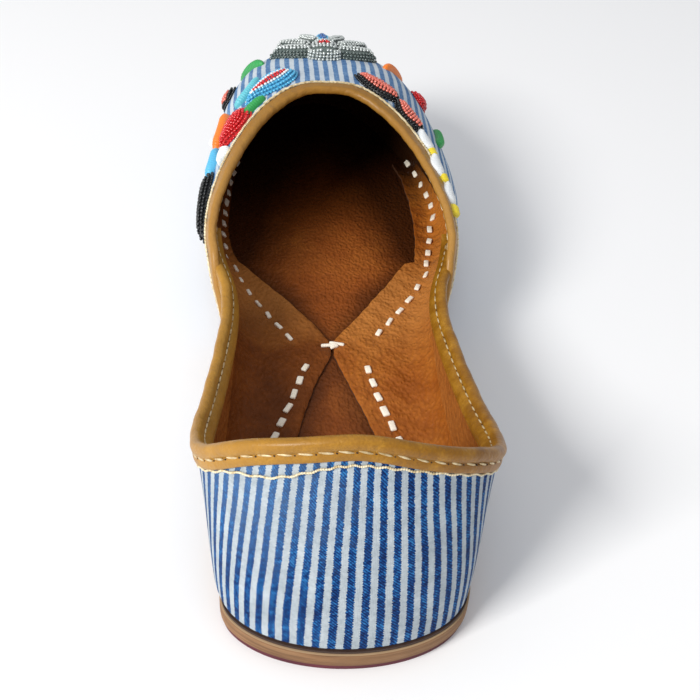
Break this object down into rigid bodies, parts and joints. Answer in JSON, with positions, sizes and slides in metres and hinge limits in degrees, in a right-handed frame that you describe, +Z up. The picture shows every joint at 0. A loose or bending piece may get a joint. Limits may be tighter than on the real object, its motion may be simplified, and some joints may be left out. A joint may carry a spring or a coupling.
{
  "type": "punjabi jutti",
  "caption": "Flat slip-on shoe with a striped cotton upper, leather bindings, a raised heel peak and a thin layered leather sole; the right shoe of a pair.",
  "frame": {"origin": "middle of the bounding box's base, on the floor that the sole stands on", "axes": "+Y from the heel to the toe, +X to the outer side of the foot, +Z up"},
  "size_m": [0.0834, 0.257, 0.066],
  "materials": {
    "outsole_leather": "matt, dyed dark maroon",
    "sole_edge_leather": "matt cut edge of tan leather",
    "rand_leather": "matt dark brown",
    "insole_leather": "pebbled, slightly glossy brown",
    "striped_cotton": "woven cotton in blue and white stripes, lined with brown leather",
    "binding_leather": "smooth folded tan leather, satin",
    "stitching_cotton": "waxed off-white cotton cord",
    "gold_thread": "thin golden thread, satin",
    "bead_glass": "opaque glossy glass seed beads and thread-wrapped shapes, in several colours"
  },
  "bodies": {
    "root": {"outsole": "outsole_leather", "midsole": "sole_edge_leather", "rand": "rand_leather", "insole": "insole_leather", "upper": "striped_cotton", "vamp_binding": "binding_leather", "quarter_binding": "binding_leather"}
  },
  "joints": []
}
